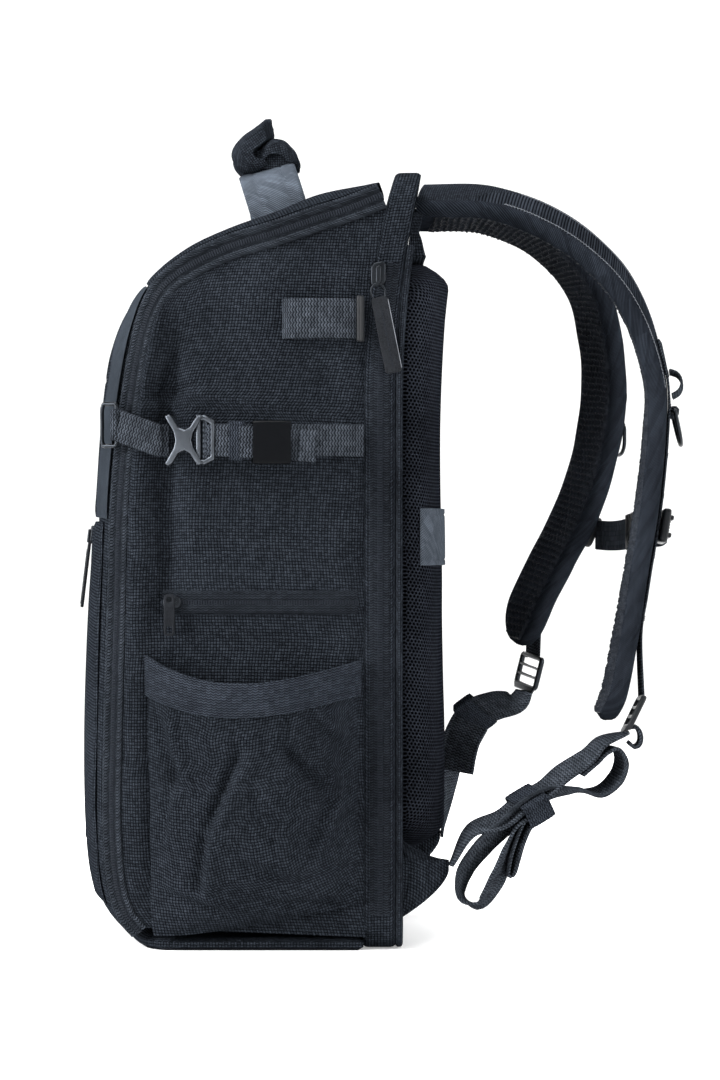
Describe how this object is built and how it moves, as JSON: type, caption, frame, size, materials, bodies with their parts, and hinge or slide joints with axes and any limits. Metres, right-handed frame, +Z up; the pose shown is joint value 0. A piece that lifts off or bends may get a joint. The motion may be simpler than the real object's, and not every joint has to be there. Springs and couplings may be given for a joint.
{
  "type": "camera backpack",
  "caption": "Upright camera backpack in black ballistic cloth with curved shoulder straps, a carry handle, side pockets and buckled side straps.",
  "frame": {"origin": "middle of the flat base, on the ground it stands on", "axes": "+X to the wearer's right, +Y towards the wearer's back where the shoulder straps are, +Z up"},
  "size_m": [0.3664, 0.3891, 0.5322],
  "materials": {
    "ballistic": "coarse woven ballistic nylon, near black with a blue cast",
    "slick": "smooth coated cloth, dark grey blue with a soft sheen",
    "zip": "coil zip with woven tape and satin binding",
    "piping": "smooth woven binding",
    "air_mesh": "open spacer mesh over foam",
    "twill": "satin twill",
    "webbing": "ribbed polyester webbing",
    "buckle_plastic": "satin gunmetal acetal",
    "dark_metal": "dark plated steel wire",
    "leather": "smooth black leather with a pressed line",
    "rubber": "moulded rubber with a grid of studs"
  },
  "bodies": {
    "root": {"side_panel_right": "ballistic", "side_panel_left": "ballistic", "front_panel": "ballistic", "top_panel": "ballistic", "base_panel": "ballistic", "rear_gusset": "ballistic", "rear_door": "ballistic", "front_pocket": "ballistic", "top_yoke": "ballistic", "wing_right": "ballistic", "wing_left": "ballistic", "side_pocket_right": "ballistic", "side_pocket_left": "ballistic", "front_upper_panel": "ballistic", "slick_panel_right": "slick", "slick_panel_left": "slick", "front_zip_right": "zip", "front_zip_left": "zip", "rear_zip_right": "zip", "rear_zip_left": "zip", "side_zip_right": "zip", "rear_piping": "piping", "pocket_hem_right": "piping", "pocket_hem_left": "piping", "back_pad": "air_mesh", "shoulder_pad_right": "air_mesh", "shoulder_pad_left": "air_mesh", "trolley_band": "twill", "handle_strap": "twill", "handle_grip": "twill", "side_strap_front_right": "webbing", "side_strap_rear_right": "webbing", "strap_keeper_right": "webbing", "side_strap_left": "webbing", "lash_loop_right": "webbing", "lash_loop_left": "webbing", "strap_rail_right": "webbing", "strap_rail_left": "webbing", "lower_webbing_right": "webbing", "lower_webbing_left": "webbing", "webbing_keeper_right": "webbing", "webbing_tail_right": "webbing", "webbing_tail_left": "webbing", "sternum_webbing_right": "webbing", "sternum_webbing_left": "webbing", "side_buckle_socket_right": "buckle_plastic", "side_buckle_plug_right": "buckle_plastic", "side_buckle_left": "buckle_plastic", "strap_lock_right": "buckle_plastic", "strap_lock_left": "buckle_plastic", "sternum_slider_right": "buckle_plastic", "sternum_slider_left": "buckle_plastic", "sternum_buckle": "buckle_plastic", "strap_ring_right": "dark_metal", "strap_ring_left": "dark_metal", "d_ring_right": "dark_metal", "d_ring_left": "dark_metal", "rear_zip_pull_right": "leather", "front_pocket_pull": "leather", "side_zip_pull_right": "rubber"}
  },
  "joints": []
}
